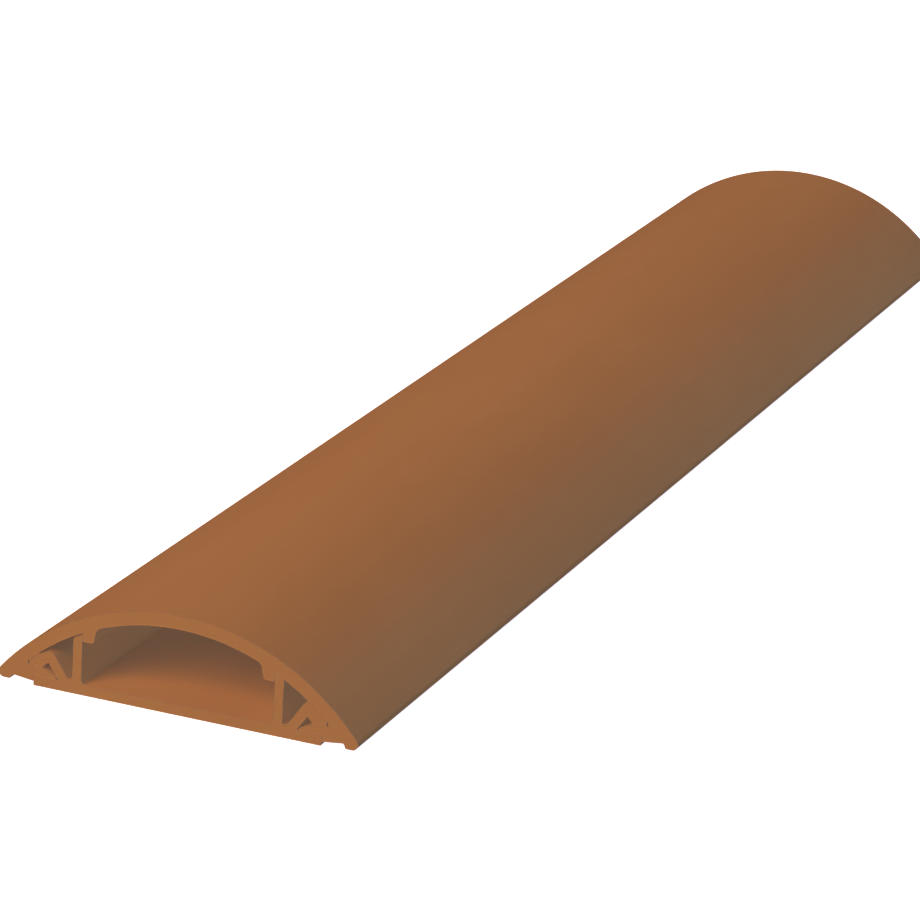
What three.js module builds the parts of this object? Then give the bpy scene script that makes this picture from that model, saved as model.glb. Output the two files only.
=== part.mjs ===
// Half-round floor cable protector: two plastic extrusions that snap together.
// The base channel lies on the floor and carries the cables between two low walls.
// The arched cover clips over the base, so that a foot or a trolley rides over the top.
// X runs across the profile, Y along it and Z is up. All sizes are in mm.

import * as THREE from 'three';

// Overall sizes
const LENGTH = 375;
const WIDTH = 75;
const HEIGHT = 20;

// Clearances between the two pieces
const GAP = 0.3;
const ARM_GAP = 0.4;

// Cover: wall, toe and feet
const COVER_WALL = 2.7;
const TOE_R = 1.2;
const FOOT_LIFT = 0.4;
const FOOT_WIDTH = 2.5;
const FOOT_SLANT = 0.35;
const RECESS_INNER = 0.85;
const RECESS_OUTER = 1.4;

// Base: floor plate, cable walls and the clip beside each wall.
// An inset is measured inwards from the outer edge of the cover.
const PLATE_INSET = 7.5;
const PLATE_T = 2.1;
const CHANNEL_INSET = 17.5;
const CHANNEL_WALL = 1.9;
const FLOOR_FILLET = 1.2;
const LEG_START = 0.5;
const LEG_T = 2;
const ROOT_WEB = 0.5;
const LEG_ANGLE = 56 * Math.PI / 180;
const LEG_TOP_DROP = 0.8;
const SHOULDER = 2;
const BARB_INSET = 6.5;
const BARB_NOSE = 0.3;
const BARB_RISE = 0.2;
const HOLLOW_RISE = 1.3;

// Hook of the cover under each barb, with a sloping nose, and the rib inside each cable wall
const HOOK_REACH = 1.7;
const HOOK_TIP = 0.45;
const RIB_T = 2;
const RIB_TAPER = 0.6;
const RIB_DROP = 9.1;
const RIB_FILLET = 0.8;
const FILLET_RUN = 1;

// Rounded corners: how much of each side a corner takes, or the most of a short side
const ROUND = 0.3;
const SMALL_ROUND = 0.2;
const RIB_ROUND = 0.4;
const SHOULDER_ROUND = 0.5;
const SHORT_SIDE_SHARE = 0.35;
const ARC_STEPS = 6;

// Centre of the small arc that turns each toe under
const toeX = WIDTH / 2 - TOE_R;
const toeZ = FOOT_LIFT + TOE_R;
const drop = HEIGHT - toeZ;

// Crown radius that meets the toe arc without a kink
const crownR = (toeX ** 2 + drop ** 2 - TOE_R ** 2) / (2 * (drop - TOE_R));
const crownZ = HEIGHT - crownR;
const innerR = crownR - COVER_WALL;

// Height, at a distance x from the middle, of an arc of radius r about the crown's centre
function arcHeight(r, x) {
  return crownZ + Math.sqrt(r * r - x * x);
}

// Angle from the X axis of the point at distance x on such an arc
function arcAngle(r, x) {
  return Math.acos(x / r);
}

// Straight sides through corners [x, z, cut]; a cut rounds the corner off over that length.
function follow(path, corners) {
  corners.forEach(([x, z, cut = 0], i) => {
    if (!cut) {
      path.lineTo(x, z);
      return;
    }
    const corner = new THREE.Vector2(x, z);
    const next = new THREE.Vector2(corners[i + 1][0], corners[i + 1][1]);
    const back = path.currentPoint.clone().sub(corner).setLength(cut);
    const on = next.sub(corner).setLength(cut);
    path.lineTo(x + back.x, z + back.y);
    path.quadraticCurveTo(x, z, x + on.x, z + on.y);
  });
}

// Completes a right half that starts and ends on the middle line, and sweeps it along Y.
function sweep(half) {
  const right = half
    .getPoints(ARC_STEPS)
    .filter((p, i, all) => i === 0 || p.distanceTo(all[i - 1]) > 1e-4);
  const left = right
    .filter((p) => p.x > 1e-6)
    .map((p) => new THREE.Vector2(-p.x, p.y))
    .reverse();
  const outline = new THREE.Shape([...right, ...left]);
  const solid = new THREE.ExtrudeGeometry(outline, { depth: LENGTH, bevelEnabled: false });
  solid.rotateX(Math.PI / 2);
  solid.translate(0, LENGTH / 2, 0);
  return solid;
}

// Base channel: floor plate, two cable walls, and a leg with an outward barb on each side
const plateHalf = WIDTH / 2 - PLATE_INSET;
const channelHalf = WIDTH / 2 - CHANNEL_INSET;
const barbX = WIDTH / 2 - BARB_INSET;
const wallOut = channelHalf + CHANNEL_WALL;
const wallR = innerR - GAP;
const armR = innerR - ARM_GAP;
const legX = wallOut + LEG_START;
const legOutX = legX + LEG_T / Math.sin(LEG_ANGLE);
const lean = 1 / Math.tan(LEG_ANGLE);
const armX = legOutX + SHOULDER;
const legTop = arcHeight(armR, armX) - LEG_TOP_DROP;
const legTopX = legX + (legTop - PLATE_T) * lean;
const barbZ = arcHeight(armR, barbX) - BARB_NOSE;
const barbBack = barbZ - BARB_RISE;
const hollowTop = barbBack + HOLLOW_RISE;
const hollowX = legOutX + (hollowTop - PLATE_T) * lean;
const hookX = plateHalf - HOOK_REACH;
const hookZ = PLATE_T + GAP;
const hookTop = barbBack - GAP;
const tipZ = hookZ + HOOK_TIP;
const tipX = legOutX + (tipZ - PLATE_T) * lean + GAP / Math.sin(LEG_ANGLE);

function baseHalf() {
  const half = new THREE.Path();
  half.moveTo(0, PLATE_T);
  follow(half, [
    [channelHalf, PLATE_T, FLOOR_FILLET],
    [channelHalf, arcHeight(wallR, channelHalf), ROUND],
    [wallOut, arcHeight(wallR, wallOut), ROUND],
    [wallOut, PLATE_T + ROOT_WEB, SMALL_ROUND],
    [legX + ROOT_WEB * lean, PLATE_T + ROOT_WEB, SMALL_ROUND],
    [legTopX, legTop, SHOULDER_ROUND],
    [armX, arcHeight(armR, armX)],
  ]);
  half.absarc(0, crownZ, armR, arcAngle(armR, armX), arcAngle(armR, barbX), true);
  follow(half, [
    [barbX, barbZ, SMALL_ROUND],
    [hookX, barbBack, ROUND],
    [hollowX, hollowTop, ROUND],
    [legOutX, PLATE_T, ROUND],
    [plateHalf, PLATE_T, ROUND],
    [plateHalf, 0, ROUND],
    [0, 0],
  ]);
  return half;
}

// Snap cover: arched wall, a short rib inside each cable wall, and hooked feet
const ribOut = channelHalf - GAP;
const ribIn = ribOut - RIB_T;
const ribRoot = ribIn - RIB_TAPER;
const ribZ = HEIGHT - RIB_DROP;
const filletX = ribRoot - FILLET_RUN;
const recessX = plateHalf + GAP;
const noseCut = SHORT_SIDE_SHARE * (hookTop - hookZ);
const tipCut = SHORT_SIDE_SHARE * HOOK_TIP;
const throatX = barbX + 2 * GAP;
const footX = WIDTH / 2 - FOOT_WIDTH;
const toeTop = Math.atan2(toeZ - crownZ, toeX);

function coverHalf() {
  const half = new THREE.Path();
  half.moveTo(0, crownZ + innerR);
  half.absarc(0, crownZ, innerR, Math.PI / 2, arcAngle(innerR, ribRoot / 2), true);
  half.absarc(0, crownZ, innerR, arcAngle(innerR, ribRoot / 2), arcAngle(innerR, filletX), true);
  follow(half, [
    [ribRoot, arcHeight(innerR, ribRoot), RIB_FILLET],
    [ribIn, ribZ, RIB_ROUND],
    [ribOut, ribZ, ROUND],
    [ribOut, arcHeight(innerR, ribOut)],
  ]);
  half.absarc(0, crownZ, innerR, arcAngle(innerR, ribOut), arcAngle(innerR, throatX), true);
  follow(half, [
    [throatX, barbZ - GAP, SMALL_ROUND],
    [hookX, hookTop, noseCut],
    [tipX, tipZ, tipCut],
    [tipX, hookZ, tipCut],
    [recessX, hookZ, SMALL_ROUND],
    [recessX, RECESS_INNER, ROUND],
    [footX - FOOT_SLANT, RECESS_OUTER, ROUND],
    [footX, FOOT_LIFT, SMALL_ROUND],
    [toeX, FOOT_LIFT],
  ]);
  half.absarc(toeX, toeZ, TOE_R, -Math.PI / 2, toeTop, false);
  half.absarc(0, crownZ, crownR, toeTop, (toeTop + Math.PI / 2) / 2, false);
  half.absarc(0, crownZ, crownR, (toeTop + Math.PI / 2) / 2, Math.PI / 2, false);
  return half;
}

const plastic = new THREE.MeshStandardMaterial({ color: 0xa06940, roughness: 0.5, metalness: 0 });

function piece(name, half) {
  const mesh = new THREE.Mesh(sweep(half), plastic);
  mesh.name = name;
  return mesh;
}

const part = new THREE.Group();
part.name = 'cable_protector_ramp';
part.add(piece('base_channel', baseHalf()));
part.add(piece('snap_cover', coverHalf()));

export default part;
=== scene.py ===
import math

import bmesh
import bpy
from bpy.props import FloatProperty, FloatVectorProperty, IntProperty, PointerProperty
from mathutils import Matrix, Vector


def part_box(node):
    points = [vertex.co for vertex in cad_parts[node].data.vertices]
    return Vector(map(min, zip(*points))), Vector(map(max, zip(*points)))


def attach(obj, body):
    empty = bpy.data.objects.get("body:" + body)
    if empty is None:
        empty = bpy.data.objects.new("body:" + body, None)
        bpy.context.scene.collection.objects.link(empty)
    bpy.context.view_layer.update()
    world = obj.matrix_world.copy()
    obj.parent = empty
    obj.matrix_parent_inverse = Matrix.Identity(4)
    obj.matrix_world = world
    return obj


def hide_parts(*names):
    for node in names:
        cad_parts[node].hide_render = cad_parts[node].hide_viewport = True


bl_info = {
    "name": "Half-round floor cable cover",
    "version": (1, 0, 0),
    "blender": (4, 5, 0),
    "location": "View3D > Sidebar > Floor cover",
    "description": "Finished look of a two-piece floor cable cover: base channel and clip-fit cover",
    "category": "Object",
}

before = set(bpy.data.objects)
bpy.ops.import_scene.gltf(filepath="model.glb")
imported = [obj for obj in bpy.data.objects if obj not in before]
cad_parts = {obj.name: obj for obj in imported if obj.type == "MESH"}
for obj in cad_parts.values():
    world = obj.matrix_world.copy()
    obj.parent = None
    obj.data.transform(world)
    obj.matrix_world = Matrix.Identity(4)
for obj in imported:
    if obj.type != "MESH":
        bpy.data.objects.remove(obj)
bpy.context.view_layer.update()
COVER_LOW, COVER_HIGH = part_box("snap_cover")

# Meshes are drawn in millimetres and scaled to metres once they are whole.
MM = 0.001
LENGTH = (COVER_HIGH.y - COVER_LOW.y) / MM
WIDTH = (COVER_HIGH.x - COVER_LOW.x) / MM
HEIGHT = COVER_HIGH.z / MM
FOOT_LIFT = COVER_LOW.z / MM

# Base, in mm. An inset is measured inwards from the outer edge of the cover.
PLATE_INSET = 7.5
CHANNEL_INSET = 17.5
BARB_INSET = 6.5
FLOOR_FILLET = 1.2
WALL_GAP = 0.3
LEG_START = 0.5
LEG_T = 2.0
LEG_ANGLE = math.radians(56)
LEG_TOP_DROP = 0.8
ROOT_WEB = 0.5
SHOULDER = 2.0
LANDING = 1.7
ARM_GAP = 0.4
BARB_NOSE = 0.3
BARB_RISE = 0.2
HOLLOW_RISE = 1.3

# Cover, in mm
TOE_R = 1.2
THROAT = 0.3
HOOK_REACH = 1.7
HOOK_TIP = 0.45
HOOK_GAP = 0.12
RIB_REACH = 2.3
RIB_TAPER = 0.6
RIB_DROP = 9.1
RIB_FILLET = 0.8
FILLET_RUN = 1.0
RECESS_INNER = 0.85
RECESS_OUTER = 1.4
FOOT_WIDTH = 2.5
FOOT_SLANT = 0.35

# Rounded corners, in mm, and the share of the hook's height that its nose takes
ROUND = 0.3
SMALL_ROUND = 0.2
SHOULDER_ROUND = 0.5
RIB_ROUND = 0.4
TIP_ROUND = 0.15
EDGE_ROUND = 0.12
NOSE_SHARE = 0.35

# Steps of the shorter arcs
LANDING_STEPS = 10
LAP_STEPS = 24
TOE_STEPS = 12

# Mesh work: weld distance in mm, edges kept sharp, and how squarely a face looks along Y
WELD = 1e-4
SHARP_ANGLE = math.radians(32)
END_FACING = 0.9
SAWN_FACING = 0.5
WHOLE_LENGTH_SHARE = 0.9

# Plastic: how much of each effect shows
DRIFT_SHARE = 0.55
STREAK_SHARE = 0.16
CUT_SHARE = 0.5
SAW_TONE_SHARE = 0.14
DRIFT_ROUGHENS = 0.06
SCUFF_ROUGHENS = 0.25
SAW_ROUGHENS = 0.16
SAW_TONE_ROUGHENS = 0.12
GRAIN_SHARE = 0.35
SAW_RELIEF = 0.16
SAW_DEPTH = 0.06 * MM
CUT_REACH = 0.6 * MM
REFRACTION = 1.52
SPECULAR = 0.25

# Where the Mix node keeps its colours, because its number sockets have the same names
MIX_FIRST, MIX_SECOND, MIX_RESULT = 6, 7, 2

# Studio, in metres. A direction points from the part to its light.
FLOOR_HALF = 6.0
FLOOR_DROP = 0.1 * MM
FLOOR_ROUGHNESS = 0.9
FLOOR_SPECULAR = 0.1
FLOOR_GLOW_COLOUR = (1.0, 0.72, 0.3)
AIR_COLOUR = (0.86, 0.95, 1.0)
SOFTBOX_DIRECTION = (-0.28, -0.79, 0.55)
SOFTBOX_DISTANCE = 5.0
SOFTBOX_SIZE = 3.8
KEY_COLOUR = (1.0, 0.73, 0.18)
SHEEN_COLOUR = (1.0, 0.95, 0.9)
FILL_ANGLE = math.radians(25)
FILL_DISTANCE = 2.0

# Each fill's name, which its strength setting has too, its direction and its colour
FILLS = (
    ("top_fill", (-0.1, 0.0, 1.0), (0.20, 0.42, 1.0)),
    ("left_fill", (-0.85, 0.0, -0.53), (0.26, 0.53, 1.0)),
    ("right_fill", (0.92, 0.0, -0.39), (0.08, 0.42, 1.0)),
    ("wall_fill", (0.8, 0.0, -0.6), (1.0, 0.3, 0.1)),
    ("front_fill", (0.0, -1.0, 0.0), (0.0, 0.33, 1.0)),
    ("back_fill", (0.2, 1.0, 0.1), (1.0, 0.97, 0.93)),
)

# Camera: its turn, tilt and roll, where the near end's foot lies in its view, and its lens in mm
AZIMUTH = math.radians(20.9655)
ELEVATION = math.radians(18.6278)
ROLL = math.radians(3.6489)
NEAR_RIGHT = -53.780 * MM
NEAR_UP = -48.203 * MM
NEAR_AWAY = 905.307 * MM
LENS = 187.521
SENSOR_WIDTH = 36.0
CLIP_START, CLIP_END = 0.01, 50.0


# ---------------------------------------------------------------- settings

class FloorCoverSizes(bpy.types.PropertyGroup):
    """Sizes of the two profiles"""

    cover_wall: FloatProperty(
        name="Cover wall", description="Thickness of the arched wall",
        default=2.7 * MM, min=1.0 * MM, max=6.0 * MM, unit="LENGTH")
    plate: FloatProperty(
        name="Base plate", description="Thickness of the base plate",
        default=2.1 * MM, min=1.0 * MM, max=5.0 * MM, unit="LENGTH")
    channel_wall: FloatProperty(
        name="Cable wall", description="Thickness of the upright cable walls",
        default=1.9 * MM, min=1.0 * MM, max=5.0 * MM, unit="LENGTH")
    loose_gap: FloatProperty(
        name="Loose side gap", description="Gap over the clip on the side where the cover has slack",
        default=0.72 * MM, min=0.02 * MM, max=1.0 * MM, unit="LENGTH")
    tight_gap: FloatProperty(
        name="Tight side gap", description="Gap over the clip on the side the cover is pushed to",
        default=0.05 * MM, min=0.02 * MM, max=1.0 * MM, unit="LENGTH")
    seam: FloatProperty(
        name="Seam", description="Gap between hooks, barbs, ribs and walls",
        default=0.04 * MM, min=0.02 * MM, max=0.3 * MM, unit="LENGTH")
    chamfer: FloatProperty(
        name="Cut edge", description="Chamfer of the sawn ends",
        default=0.06 * MM, min=0.01 * MM, max=0.5 * MM, unit="LENGTH")
    arc_steps: IntProperty(
        name="Arc steps", description="Steps in each half of the arch", default=56, min=8, max=200)
    round_steps: IntProperty(
        name="Round steps", description="Segments in each rounded corner", default=5, min=1, max=12)
    bays: IntProperty(
        name="Bays", description="Cuts along the length", default=14, min=1, max=60)


class FloorCoverFinish(bpy.types.PropertyGroup):
    """Colours and surface of the plastic"""

    plastic: FloatVectorProperty(
        name="Plastic", description="Colour of the extruded plastic",
        subtype="COLOR", size=3, default=(0.354, 0.132, 0.038), min=0.0, max=1.0)
    bleached: FloatVectorProperty(
        name="Bleached plastic", description="Paler tone where the plastic is scuffed or cut",
        subtype="COLOR", size=3, default=(0.42, 0.18, 0.080), min=0.0, max=1.0)
    deep: FloatVectorProperty(
        name="Deep plastic", description="Darker tone in the streaks of the melt",
        subtype="COLOR", size=3, default=(0.326, 0.117, 0.034), min=0.0, max=1.0)
    sheen_roughness: FloatProperty(
        name="Roughness", description="Roughness of the extruded faces",
        subtype="FACTOR", default=0.62, min=0.05, max=1.0)
    line_depth: FloatProperty(
        name="Die lines", description="Depth of the fine lines that the die leaves",
        default=0.012 * MM, min=0.0, max=0.5 * MM, unit="LENGTH")
    scuffing: FloatProperty(
        name="Scuffing", description="How much of the crown is lightly scuffed",
        subtype="FACTOR", default=0.16, min=0.0, max=1.0)


class FloorCoverStudio(bpy.types.PropertyGroup):
    """Floor and lights"""

    floor: FloatVectorProperty(
        name="Floor", description="Colour of the studio floor",
        subtype="COLOR", size=3, default=(0.93, 0.93, 0.93), min=0.0, max=1.0)
    floor_glow: FloatProperty(
        name="Floor glow", description="Light from under the translucent floor",
        default=0.76, min=0.0, max=5.0)
    key_power: FloatProperty(
        name="Key light", description="Power of the large front softbox",
        unit="POWER", default=336.0, min=0.0, max=2000.0)
    sheen_power: FloatProperty(
        name="Sheen light", description="Power of the softbox that shows only in the sheen",
        unit="POWER", default=110.0, min=0.0, max=2000.0)
    top_fill: FloatProperty(
        name="Top fill", description="Strength of the fill from above",
        default=3.4, min=0.0, max=8.0)
    left_fill: FloatProperty(
        name="Left fill", description="Strength of the low fill from the left",
        default=1.0, min=0.0, max=8.0)
    right_fill: FloatProperty(
        name="Right fill", description="Strength of the low fill from the right",
        default=4.1, min=0.0, max=8.0)
    wall_fill: FloatProperty(
        name="Wall fill", description="Strength of the warm low fill that reaches the cable walls",
        default=0.8, min=0.0, max=8.0)
    front_fill: FloatProperty(
        name="Front fill", description="Strength of the level fill on the near end",
        default=2.85, min=0.0, max=8.0)
    back_fill: FloatProperty(
        name="Back fill", description="Strength of the fill from behind",
        default=1.5, min=0.0, max=8.0)
    ambient: FloatProperty(
        name="Ambient", description="Strength of the light from all round",
        default=0.06, min=0.0, max=5.0)


# ---------------------------------------------------------------- profiles

class Section:
    """Half of one profile, drawn as a loop of points from the middle line back to the middle line"""

    def __init__(self, mesh, round_steps):
        self.mesh = mesh
        self.steps = round_steps
        self.loop = []
        self.rounds = []

    def corner(self, x, z, cut=0.0):
        """Adds a point, which is rounded over the length of its cut"""
        vert = self.mesh.verts.new((x, 0, z))
        self.loop.append(vert)
        if cut:
            self.rounds.append((vert, cut))

    def arc(self, centre, radius, start, end, steps):
        """Spins one point about the arc's centre; angles are from X towards Z"""
        cx, cz = centre
        first = self.mesh.verts.new((cx + radius * math.cos(start), 0, cz + radius * math.sin(start)))
        before = len(self.mesh.verts)
        bmesh.ops.spin(
            self.mesh, geom=[first], cent=(cx, 0, cz), axis=(0, -1, 0), angle=end - start,
            steps=steps, use_merge=False)
        self.mesh.verts.ensure_lookup_table()
        self.loop.append(first)
        self.loop.extend(self.mesh.verts[before:])

    def close(self):
        """Fills the loop and rounds its corners"""
        self.mesh.faces.new(self.loop)
        for vert, cut in self.rounds:
            bmesh.ops.bevel(
                self.mesh, geom=[vert], offset=cut, offset_type="OFFSET", segments=self.steps,
                profile=0.5, affect="VERTICES", material=-1)


class Fit:
    """The radii and positions that the two profiles share, in mm"""

    def __init__(self, sizes):
        self.plate = sizes.plate / MM
        self.seam = sizes.seam / MM
        self.toe_at = (WIDTH / 2 - TOE_R, FOOT_LIFT + TOE_R)
        drop = HEIGHT - self.toe_at[1]
        self.crown_r = (self.toe_at[0] ** 2 + drop ** 2 - TOE_R ** 2) / (2 * (drop - TOE_R))
        self.crown = (0.0, HEIGHT - self.crown_r)
        self.inner_r = self.crown_r - sizes.cover_wall / MM
        self.channel = WIDTH / 2 - CHANNEL_INSET
        self.plate_half = WIDTH / 2 - PLATE_INSET
        self.barb_x = WIDTH / 2 - BARB_INSET
        self.wall_out = self.channel + sizes.channel_wall / MM
        self.barb_z = self.height(self.inner_r - ARM_GAP, self.barb_x) - BARB_NOSE
        self.barb_back = self.barb_z - BARB_RISE
        self.hook_x = self.plate_half - HOOK_REACH
        self.leg_x = self.wall_out + LEG_START
        self.leg_out = self.leg_x + LEG_T / math.sin(LEG_ANGLE)

    def height(self, radius, x):
        """Height, at a distance x from the middle, of an arc about the crown's centre"""
        return self.crown[1] + math.sqrt(radius * radius - x * x)

    def angle(self, radius, x):
        """Angle from the X axis of the point at distance x on such an arc"""
        return math.acos(x / radius)

    def leant(self, x, z):
        """Where a leg's face that leaves the plate at x has got to at height z"""
        return x + (z - self.plate) / math.tan(LEG_ANGLE)


def base_half(mesh, sizes, gap):
    """Floor plate, cable wall, leaning leg and barbed arm of one side, with that gap over the arm"""
    fit = Fit(sizes)
    half = Section(mesh, sizes.round_steps)
    wall_r = fit.inner_r - min(gap, WALL_GAP)
    arm_r = fit.inner_r - gap
    tip_r = fit.inner_r - sizes.tight_gap / MM
    arm_x = fit.leg_out + SHOULDER
    landing = fit.barb_x - LANDING
    leg_top = fit.height(arm_r, arm_x) - LEG_TOP_DROP
    hollow_top = fit.barb_back + HOLLOW_RISE
    web_top = fit.plate + ROOT_WEB
    half.corner(0, fit.plate)
    half.corner(fit.channel, fit.plate, FLOOR_FILLET)
    half.corner(fit.channel, fit.height(wall_r, fit.channel), ROUND)
    half.corner(fit.wall_out, fit.height(wall_r, fit.wall_out), ROUND)
    half.corner(fit.wall_out, web_top, SMALL_ROUND)
    half.corner(fit.leant(fit.leg_x, web_top), web_top, SMALL_ROUND)
    half.corner(fit.leant(fit.leg_x, leg_top), leg_top, SHOULDER_ROUND)
    half.corner(arm_x, fit.height(arm_r, arm_x), SHOULDER_ROUND)
    half.arc(fit.crown, tip_r, fit.angle(tip_r, landing), fit.angle(tip_r, fit.barb_x), LANDING_STEPS)
    half.corner(fit.barb_x, fit.barb_z, SMALL_ROUND)
    half.corner(fit.hook_x, fit.barb_back, ROUND)
    half.corner(fit.leant(fit.leg_out, hollow_top), hollow_top, ROUND)
    half.corner(fit.leg_out, fit.plate, ROUND)
    half.corner(fit.plate_half, fit.plate, ROUND)
    half.corner(fit.plate_half, 0, EDGE_ROUND)
    half.corner(0, 0)
    half.close()


def cover_half(mesh, sizes):
    """Arched wall, rib, hook and foot of one side"""
    fit = Fit(sizes)
    half = Section(mesh, sizes.round_steps)
    rib_out = fit.channel - fit.seam
    rib_in = fit.channel - RIB_REACH
    rib_root = rib_in - RIB_TAPER
    rib_z = HEIGHT - RIB_DROP
    hook_z = fit.plate + fit.seam
    hook_top = fit.barb_back - fit.seam
    tip_z = hook_z + HOOK_TIP
    tip_x = fit.leant(fit.leg_out, tip_z) + HOOK_GAP / math.sin(LEG_ANGLE)
    recess_x = fit.plate_half + fit.seam
    throat = fit.barb_x + THROAT
    foot_x = WIDTH / 2 - FOOT_WIDTH
    nose = NOSE_SHARE * (hook_top - hook_z)
    toe_top = math.atan2(fit.toe_at[1] - fit.crown[1], fit.toe_at[0])
    fillet_angle = fit.angle(fit.inner_r, rib_root - FILLET_RUN)
    rib_angle = fit.angle(fit.inner_r, rib_out)
    half.arc(fit.crown, fit.inner_r, math.pi / 2, fillet_angle, sizes.arc_steps // 2)
    half.corner(rib_root, fit.height(fit.inner_r, rib_root), RIB_FILLET)
    half.corner(rib_in, rib_z, RIB_ROUND)
    half.corner(rib_out, rib_z, ROUND)
    half.arc(fit.crown, fit.inner_r, rib_angle, fit.angle(fit.inner_r, throat), LAP_STEPS)
    half.corner(throat, fit.barb_z - fit.seam, SMALL_ROUND)
    half.corner(fit.hook_x, hook_top, nose)
    half.corner(tip_x, tip_z, TIP_ROUND)
    half.corner(tip_x, hook_z, TIP_ROUND)
    half.corner(recess_x, hook_z, SMALL_ROUND)
    half.corner(recess_x, RECESS_INNER, EDGE_ROUND)
    half.corner(foot_x - FOOT_SLANT, RECESS_OUTER, ROUND)
    half.corner(foot_x, FOOT_LIFT, SMALL_ROUND)
    half.arc(fit.toe_at, TOE_R, -math.pi / 2, toe_top, TOE_STEPS)
    # The crown's arc starts where the toe's ends, so one of the two points leaves the loop.
    half.loop.pop()
    half.arc(fit.crown, fit.crown_r, toe_top, math.pi / 2, sizes.arc_steps)
    half.close()


def mirror(mesh):
    """Turns what has been drawn to the other side of the middle line"""
    bmesh.ops.scale(mesh, verts=mesh.verts, vec=(-1, 1, 1))


def sweep(mesh, sizes):
    """Joins the two halves, draws them out along Y and chamfers the sawn ends"""
    chamfer = sizes.chamfer / MM
    bmesh.ops.remove_doubles(mesh, verts=mesh.verts, dist=WELD)
    middle = [e for e in mesh.edges if len(e.link_faces) == 2]
    bmesh.ops.dissolve_edges(mesh, edges=middle, use_verts=False)
    bmesh.ops.translate(mesh, verts=mesh.verts, vec=(0, -LENGTH / 2, 0))
    drawn = bmesh.ops.extrude_face_region(mesh, geom=mesh.faces[:])
    moved = [g for g in drawn["geom"] if isinstance(g, bmesh.types.BMVert)]
    bmesh.ops.translate(mesh, verts=moved, vec=(0, LENGTH, 0))
    bmesh.ops.recalc_face_normals(mesh, faces=mesh.faces)
    ends = [f for f in mesh.faces if abs(f.normal.y) > END_FACING]
    for end in ends:
        rim = list(end.verts)
        inwards = -1 if end.normal.y > 0 else 1
        bmesh.ops.inset_region(
            mesh, faces=[end], thickness=chamfer, depth=0, use_even_offset=True, use_boundary=True)
        bmesh.ops.translate(mesh, verts=rim, vec=(0, inwards * chamfer, 0))
    long_edges = [e for e in mesh.edges if e.calc_length() > LENGTH * WHOLE_LENGTH_SHARE]
    bmesh.ops.subdivide_edges(mesh, edges=long_edges, cuts=sizes.bays, use_grid_fill=True)
    bmesh.ops.scale(mesh, verts=mesh.verts, vec=(MM, MM, MM))


def finished_piece(name, mesh, extruded, sawn):
    """Turns the built mesh into an object: smooth along the arcs, crisp at corners, sawn ends marked"""
    mesh.normal_update()
    for face in mesh.faces:
        face.smooth = True
        face.material_index = 1 if abs(face.normal.y) > SAWN_FACING else 0
    for edge in mesh.edges:
        if len(edge.link_faces) == 2 and edge.calc_face_angle() > SHARP_ANGLE:
            edge.smooth = False
    data = bpy.data.meshes.new(name)
    mesh.to_mesh(data)
    mesh.free()
    data.materials.append(extruded)
    data.materials.append(sawn)
    piece = bpy.data.objects.new(name, data)
    bpy.context.scene.collection.objects.link(piece)
    weighted = piece.modifiers.new("flat faces stay flat", "WEIGHTED_NORMAL")
    weighted.mode = "FACE_AREA"
    weighted.keep_sharp = True
    return piece


# ---------------------------------------------------------------- materials

def shared_group(name, inputs, outputs):
    """A new node group with named sockets: (name, type, default) in and (name, type) out"""
    group = bpy.data.node_groups.new(name, "ShaderNodeTree")
    for label, kind, default in inputs:
        socket = group.interface.new_socket(name=label, in_out="INPUT", socket_type=kind)
        if default is not None:
            socket.default_value = default
    for label, kind in outputs:
        group.interface.new_socket(name=label, in_out="OUTPUT", socket_type=kind)
    enter = group.nodes.new("NodeGroupInput")
    leave = group.nodes.new("NodeGroupOutput")
    return group, enter, leave


def math_node(tree, operation, *values, clamp=False):
    """One calculation; each value is a number or an output"""
    node = tree.nodes.new("ShaderNodeMath")
    node.operation = operation
    node.use_clamp = clamp
    for socket, value in zip(node.inputs, values):
        if isinstance(value, (int, float)):
            socket.default_value = value
        else:
            tree.links.new(value, socket)
    return node.outputs[0]


def drawn_out(tree, vector, along):
    """Scales the Y of a position, so that a pattern stretches along the length; 0 leaves Y out"""
    node = tree.nodes.new("ShaderNodeVectorMath")
    node.operation = "MULTIPLY"
    tree.links.new(vector, node.inputs[0])
    node.inputs[1].default_value = (1, along, 1)
    return node.outputs[0]


def noise(tree, vector, scale, detail, rough=0.5):
    """Soft noise from 0 to 1"""
    node = tree.nodes.new("ShaderNodeTexNoise")
    node.inputs["Scale"].default_value = scale
    node.inputs["Detail"].default_value = detail
    node.inputs["Roughness"].default_value = rough
    tree.links.new(vector, node.inputs["Vector"])
    return node.outputs["Fac"]


def band(tree, value, low, high):
    """Rises softly from 0 at the low value to 1 at the high one"""
    node = tree.nodes.new("ShaderNodeMapRange")
    node.interpolation_type = "SMOOTHSTEP"
    node.inputs["From Min"].default_value = low
    node.inputs["From Max"].default_value = high
    tree.links.new(value, node.inputs["Value"])
    return node.outputs["Result"]


def die_lines_group():
    """Fine lines that run the whole length, broad and narrow, with a soft unevenness along them"""
    tree, enter, leave = shared_group(
        "die lines", [("Vector", "NodeSocketVector", None)],
        [("Height", "NodeSocketFloat"), ("Streak", "NodeSocketFloat")])
    vector = enter.outputs["Vector"]
    narrow = noise(tree, drawn_out(tree, vector, along=0.004), scale=1900, detail=2)
    broad = noise(tree, drawn_out(tree, vector, along=0.012), scale=240, detail=3)
    broad_share = 0.8
    height = math_node(tree, "MULTIPLY_ADD", broad, broad_share, narrow)
    tree.links.new(height, leave.inputs["Height"])
    tree.links.new(band(tree, broad, low=0.36, high=0.66), leave.inputs["Streak"])
    return tree


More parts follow.
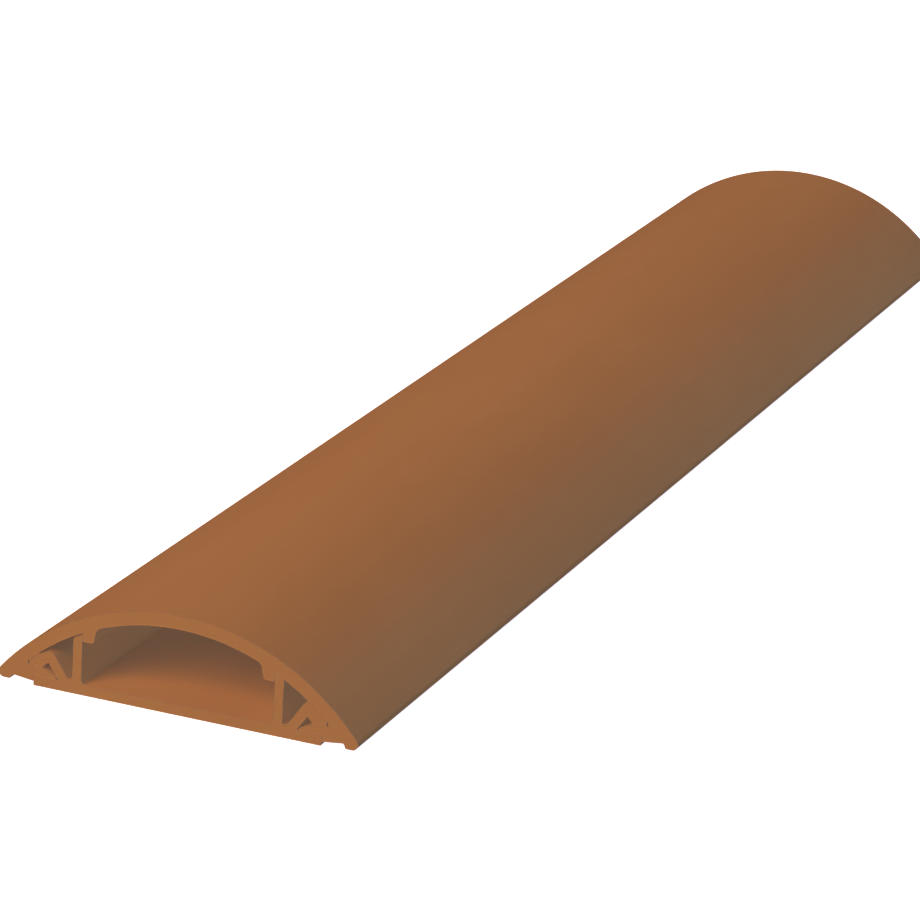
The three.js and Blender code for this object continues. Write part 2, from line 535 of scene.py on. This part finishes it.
def mottle_group():
    """Slow drift of tone through the plastic and a fine matte grain"""
    tree, enter, leave = shared_group(
        "melt mottle", [("Vector", "NodeSocketVector", None)],
        [("Drift", "NodeSocketFloat"), ("Grain", "NodeSocketFloat")])
    vector = enter.outputs["Vector"]
    clouds = noise(tree, drawn_out(tree, vector, along=0.35), scale=34, detail=4, rough=0.55)
    grain = noise(tree, vector, scale=5200, detail=3, rough=0.65)
    tree.links.new(band(tree, clouds, low=0.3, high=0.7), leave.inputs["Drift"])
    tree.links.new(grain, leave.inputs["Grain"])
    return tree


def scuff_group():
    """Sparse hairline scuffs, slightly across the length, and rubbed patches"""
    tree, enter, leave = shared_group(
        "scuffs", [("Vector", "NodeSocketVector", None), ("Amount", "NodeSocketFloat", 0.2)],
        [("Mask", "NodeSocketFloat")])
    slant = 0.5
    rubbed_share = 0.25
    vector = enter.outputs["Vector"]
    turned = tree.nodes.new("ShaderNodeVectorRotate")
    turned.rotation_type = "Z_AXIS"
    turned.inputs["Angle"].default_value = slant
    tree.links.new(vector, turned.inputs["Vector"])
    strokes = drawn_out(tree, turned.outputs[0], along=0.06)
    hairs = band(tree, noise(tree, strokes, scale=900, detail=3, rough=0.6), low=0.66, high=0.74)
    patches = band(tree, noise(tree, vector, scale=55, detail=4, rough=0.6), low=0.52, high=0.74)
    both = math_node(tree, "MULTIPLY", hairs, patches)
    total = math_node(tree, "MULTIPLY_ADD", patches, rubbed_share, both)
    mask = math_node(tree, "MULTIPLY", total, enter.outputs["Amount"], clamp=True)
    tree.links.new(mask, leave.inputs["Mask"])
    return tree


def cut_edge_group():
    """A ragged pale line where the saw went through, from the distance to the nearer end"""
    tree, enter, leave = shared_group(
        "cut edge",
        [("Vector", "NodeSocketVector", None), ("Half Length", "NodeSocketFloat", LENGTH / 2 * MM),
         ("Reach", "NodeSocketFloat", CUT_REACH)],
        [("Mask", "NodeSocketFloat")])
    ragged_reach = 1.35
    split = tree.nodes.new("ShaderNodeSeparateXYZ")
    tree.links.new(enter.outputs["Vector"], split.inputs[0])
    along = math_node(tree, "ABSOLUTE", split.outputs["Y"])
    away = math_node(tree, "SUBTRACT", enter.outputs["Half Length"], along)
    share = math_node(tree, "DIVIDE", away, enter.outputs["Reach"])
    ragged = noise(tree, enter.outputs["Vector"], scale=1500, detail=3, rough=0.6)
    edge = math_node(tree, "ADD", share, ragged)
    mask = math_node(tree, "SUBTRACT", ragged_reach, edge, clamp=True)
    tree.links.new(mask, leave.inputs["Mask"])
    return tree


def saw_marks_group():
    """Arcs left by a circular blade, swept about a point below and beside the profile"""
    tree, enter, leave = shared_group(
        "saw marks", [("Vector", "NodeSocketVector", None)],
        [("Height", "NodeSocketFloat"), ("Tone", "NodeSocketFloat")])
    blade_centre = (0.05, 0, -0.13)
    crumb_share = 0.6
    flat = drawn_out(tree, enter.outputs["Vector"], along=0)
    reach = tree.nodes.new("ShaderNodeVectorMath")
    reach.operation = "DISTANCE"
    reach.inputs[1].default_value = blade_centre
    tree.links.new(flat, reach.inputs[0])
    rings = tree.nodes.new("ShaderNodeTexNoise")
    rings.noise_dimensions = "1D"
    rings.inputs["Scale"].default_value = 2600
    rings.inputs["Detail"].default_value = 3
    tree.links.new(reach.outputs["Value"], rings.inputs["W"])
    crumbs = noise(tree, flat, scale=3800, detail=3, rough=0.7)
    height = math_node(tree, "MULTIPLY_ADD", crumbs, crumb_share, rings.outputs["Fac"])
    tree.links.new(height, leave.inputs["Height"])
    tree.links.new(band(tree, rings.outputs["Fac"], low=0.35, high=0.7), leave.inputs["Tone"])
    return tree


def placed(tree, group, vector):
    """A use of a shared group at the given positions"""
    node = tree.nodes.new("ShaderNodeGroup")
    node.node_tree = group
    tree.links.new(vector, node.inputs["Vector"])
    return node


def tinted(tree, factor, first, second):
    """Mixes two colours by a factor; the first is a setting or an output"""
    node = tree.nodes.new("ShaderNodeMix")
    node.data_type = "RGBA"
    tree.links.new(factor, node.inputs["Factor"])
    if isinstance(first, bpy.types.NodeSocket):
        tree.links.new(first, node.inputs[MIX_FIRST])
    else:
        node.inputs[MIX_FIRST].default_value = (*first, 1)
    node.inputs[MIX_SECOND].default_value = (*second, 1)
    return node.outputs[MIX_RESULT]


def sawn_surface(tree, groups, finish, place, colour, relief):
    """Saw marks: a slightly paler tone, a rougher face and a shallow relief"""
    saw = placed(tree, groups["saw"], place)
    tone = math_node(tree, "MULTIPLY", saw.outputs["Tone"], SAW_TONE_SHARE)
    colour = tinted(tree, tone, colour, finish.bleached)
    rough = math_node(
        tree, "MULTIPLY_ADD", saw.outputs["Tone"], SAW_TONE_ROUGHENS,
        finish.sheen_roughness + SAW_ROUGHENS)
    tree.links.new(saw.outputs["Height"], relief.inputs["Height"])
    relief.inputs["Strength"].default_value = SAW_RELIEF
    relief.inputs["Distance"].default_value = SAW_DEPTH
    return colour, rough


def extruded_surface(tree, groups, finish, place, colour, relief, mottle):
    """Die lines and grain, with scuffs on top and a pale edge beside the saw cuts"""
    lines = placed(tree, groups["lines"], place)
    scuffs = placed(tree, groups["scuffs"], place)
    scuffs.inputs["Amount"].default_value = finish.scuffing
    cut = placed(tree, groups["cut"], place)
    cut.inputs["Half Length"].default_value = LENGTH / 2 * MM
    streak = math_node(tree, "MULTIPLY", lines.outputs["Streak"], STREAK_SHARE)
    colour = tinted(tree, streak, colour, finish.deep)
    colour = tinted(tree, scuffs.outputs["Mask"], colour, finish.bleached)
    edge = math_node(tree, "MULTIPLY", cut.outputs["Mask"], CUT_SHARE)
    colour = tinted(tree, edge, colour, finish.bleached)
    even = math_node(
        tree, "MULTIPLY_ADD", mottle.outputs["Drift"], DRIFT_ROUGHENS, finish.sheen_roughness)
    rough = math_node(tree, "MULTIPLY_ADD", scuffs.outputs["Mask"], SCUFF_ROUGHENS, even)
    height = math_node(
        tree, "MULTIPLY_ADD", mottle.outputs["Grain"], GRAIN_SHARE, lines.outputs["Height"])
    tree.links.new(height, relief.inputs["Height"])
    relief.inputs["Strength"].default_value = 1.0
    relief.inputs["Distance"].default_value = finish.line_depth
    return colour, rough


def plastic_material(name, groups, finish, is_sawn):
    """Satin extruded plastic, or the same plastic where it was sawn through"""
    material = bpy.data.materials.new(name)
    material.use_nodes = True
    tree = material.node_tree
    shader = tree.nodes["Principled BSDF"]
    place = tree.nodes.new("ShaderNodeTexCoord").outputs["Object"]
    mottle = placed(tree, groups["mottle"], place)
    drift = math_node(tree, "MULTIPLY", mottle.outputs["Drift"], DRIFT_SHARE)
    colour = tinted(tree, drift, finish.plastic, finish.deep)
    relief = tree.nodes.new("ShaderNodeBump")
    if is_sawn:
        colour, rough = sawn_surface(tree, groups, finish, place, colour, relief)
    else:
        colour, rough = extruded_surface(tree, groups, finish, place, colour, relief, mottle)
    tree.links.new(colour, shader.inputs["Base Color"])
    tree.links.new(rough, shader.inputs["Roughness"])
    tree.links.new(relief.outputs["Normal"], shader.inputs["Normal"])
    shader.inputs["IOR"].default_value = REFRACTION
    shader.inputs["Specular IOR Level"].default_value = SPECULAR
    return material


def plastics():
    """The two finishes, made once and shared by both pieces"""
    if "extruded plastic" not in bpy.data.materials:
        finish = bpy.context.scene.floor_cover_finish
        groups = {
            "lines": die_lines_group(), "mottle": mottle_group(), "scuffs": scuff_group(),
            "cut": cut_edge_group(), "saw": saw_marks_group(),
        }
        plastic_material("extruded plastic", groups, finish, is_sawn=False)
        plastic_material("sawn plastic", groups, finish, is_sawn=True)
    return bpy.data.materials["extruded plastic"], bpy.data.materials["sawn plastic"]


# ---------------------------------------------------------------- studio

def aimed(name, data, direction, distance, colour):
    """Puts a lamp at that distance from the part, looking back at it"""
    data.color = colour
    lamp = bpy.data.objects.new(name, data)
    bpy.context.scene.collection.objects.link(lamp)
    towards = Vector(direction).normalized()
    lamp.location = towards * distance
    lamp.rotation_euler = towards.to_track_quat("Z", "Y").to_euler()
    return lamp


def softbox(name, power, colour):
    """A large round softbox in front of the part"""
    data = bpy.data.lights.new(name, "AREA")
    data.shape = "DISK"
    data.size = SOFTBOX_SIZE
    data.energy = power
    return aimed(name, data, SOFTBOX_DIRECTION, SOFTBOX_DISTANCE, colour)


def fill_light(name, direction, strength, colour):
    """An even fill that reaches into the hollows"""
    data = bpy.data.lights.new(name, "SUN")
    data.angle = FILL_ANGLE
    data.energy = strength
    data.use_shadow = False
    lamp = aimed(name, data, direction, FILL_DISTANCE, colour)
    lamp.visible_glossy = False


def studio_floor(studio):
    """A pale floor that doesn't throw its light back onto the part"""
    mesh = bmesh.new()
    bmesh.ops.create_grid(mesh, x_segments=1, y_segments=1, size=FLOOR_HALF)
    bmesh.ops.translate(mesh, verts=mesh.verts, vec=(0, 0, -FLOOR_DROP))
    data = bpy.data.meshes.new("studio_floor")
    mesh.to_mesh(data)
    mesh.free()
    floor = bpy.data.objects.new("studio_floor", data)
    bpy.context.scene.collection.objects.link(floor)
    paint = bpy.data.materials.new("floor paint")
    paint.use_nodes = True
    shader = paint.node_tree.nodes["Principled BSDF"]
    shader.inputs["Base Color"].default_value = (*studio.floor, 1)
    shader.inputs["Roughness"].default_value = FLOOR_ROUGHNESS
    shader.inputs["Specular IOR Level"].default_value = FLOOR_SPECULAR
    shader.inputs["Emission Color"].default_value = (*FLOOR_GLOW_COLOUR, 1)
    shader.inputs["Emission Strength"].default_value = studio.floor_glow
    data.materials.append(paint)
    floor.visible_diffuse = False
    floor.visible_glossy = False


def studio_air(studio):
    """A weak even light from all round"""
    world = bpy.data.worlds.new("studio air")
    world.use_nodes = True
    sky = world.node_tree.nodes["Background"]
    sky.inputs["Color"].default_value = (*AIR_COLOUR, 1)
    sky.inputs["Strength"].default_value = studio.ambient
    bpy.context.scene.world = world


def studio_lights(studio):
    """A softbox for the shading, one for the sheen alone, and the fills"""
    key = softbox("front_softbox", studio.key_power, KEY_COLOUR)
    key.visible_glossy = False
    sheen = softbox("sheen_softbox", studio.sheen_power, SHEEN_COLOUR)
    sheen.visible_diffuse = False
    for name, direction, colour in FILLS:
        fill_light(name, direction, getattr(studio, name), colour)


def studio_camera():
    """A long lens from the front right, slightly rolled, placed from the near end's middle"""
    back = Vector((
        math.sin(AZIMUTH) * math.cos(ELEVATION), -math.cos(AZIMUTH) * math.cos(ELEVATION),
        math.sin(ELEVATION)))
    level = (-back).cross(Vector((0, 0, 1))).normalized()
    upright = level.cross(-back)
    right = level * math.cos(ROLL) + upright * math.sin(ROLL)
    up = upright * math.cos(ROLL) - level * math.sin(ROLL)
    near_end = Vector((0, -LENGTH / 2 * MM, 0))
    place = near_end - right * NEAR_RIGHT - up * NEAR_UP + back * NEAR_AWAY
    data = bpy.data.cameras.new("camera")
    data.sensor_width = SENSOR_WIDTH
    data.lens = LENS
    data.clip_start, data.clip_end = CLIP_START, CLIP_END
    eye = bpy.data.objects.new("camera", data)
    bpy.context.scene.collection.objects.link(eye)
    turned = Matrix((right, up, back)).transposed().to_4x4()
    eye.matrix_world = Matrix.Translation(place) @ turned
    bpy.context.scene.camera = eye


# ---------------------------------------------------------------- operators

class FLOORCOVER_OT_base_channel(bpy.types.Operator):
    """Base channel: floor plate, cable walls and side clips, sawn square at both ends"""

    bl_idname = "floor_cover.base_channel"
    bl_label = "Base channel"

    def execute(self, context):
        sizes = context.scene.floor_cover_sizes
        mesh = bmesh.new()
        base_half(mesh, sizes, sizes.loose_gap / MM)
        mirror(mesh)
        base_half(mesh, sizes, sizes.tight_gap / MM)
        sweep(mesh, sizes)
        piece = finished_piece("base_profile", mesh, *plastics())
        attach(piece, "base")
        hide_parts("base_channel")
        return {"FINISHED"}


class FLOORCOVER_OT_snap_cover(bpy.types.Operator):
    """Clip-fit cover: arched wall, ribs and hooked feet, sawn square at both ends"""

    bl_idname = "floor_cover.snap_cover"
    bl_label = "Clip-fit cover"

    def execute(self, context):
        sizes = context.scene.floor_cover_sizes
        mesh = bmesh.new()
        cover_half(mesh, sizes)
        mirror(mesh)
        cover_half(mesh, sizes)
        sweep(mesh, sizes)
        piece = finished_piece("cover_profile", mesh, *plastics())
        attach(piece, "cover")
        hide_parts("snap_cover")
        return {"FINISHED"}


class FLOORCOVER_OT_stage(bpy.types.Operator):
    """Pale floor, soft lights and the camera"""

    bl_idname = "floor_cover.stage"
    bl_label = "Stage"

    def execute(self, context):
        studio = context.scene.floor_cover_studio
        context.scene.view_settings.view_transform = "Standard"
        studio_floor(studio)
        studio_air(studio)
        studio_lights(studio)
        studio_camera()
        return {"FINISHED"}


class FLOORCOVER_PT_panel(bpy.types.Panel):
    """Sidebar panel with the pieces and their settings"""

    bl_idname = "FLOORCOVER_PT_panel"
    bl_label = "Floor cover"
    bl_space_type = "VIEW_3D"
    bl_region_type = "UI"
    bl_category = "Floor cover"

    def draw(self, context):
        scene = context.scene
        for group in (scene.floor_cover_sizes, scene.floor_cover_finish, scene.floor_cover_studio):
            box = self.layout.box()
            for key in group.__annotations__:
                box.prop(group, key)
        for operator in OPERATORS:
            self.layout.operator(operator.bl_idname)


OPERATORS = (FLOORCOVER_OT_base_channel, FLOORCOVER_OT_snap_cover, FLOORCOVER_OT_stage)
CLASSES = (FloorCoverSizes, FloorCoverFinish, FloorCoverStudio, *OPERATORS, FLOORCOVER_PT_panel)


def register():
    for cls in CLASSES:
        bpy.utils.register_class(cls)
    bpy.types.Scene.floor_cover_sizes = PointerProperty(type=FloorCoverSizes)
    bpy.types.Scene.floor_cover_finish = PointerProperty(type=FloorCoverFinish)
    bpy.types.Scene.floor_cover_studio = PointerProperty(type=FloorCoverStudio)


def unregister():
    del bpy.types.Scene.floor_cover_studio
    del bpy.types.Scene.floor_cover_finish
    del bpy.types.Scene.floor_cover_sizes
    for cls in reversed(CLASSES):
        bpy.utils.unregister_class(cls)


def main():
    """Builds the stage and the two pieces"""
    register()
    bpy.ops.floor_cover.stage()
    bpy.ops.floor_cover.base_channel()
    bpy.ops.floor_cover.snap_cover()


if __name__ == "__main__":
    main()
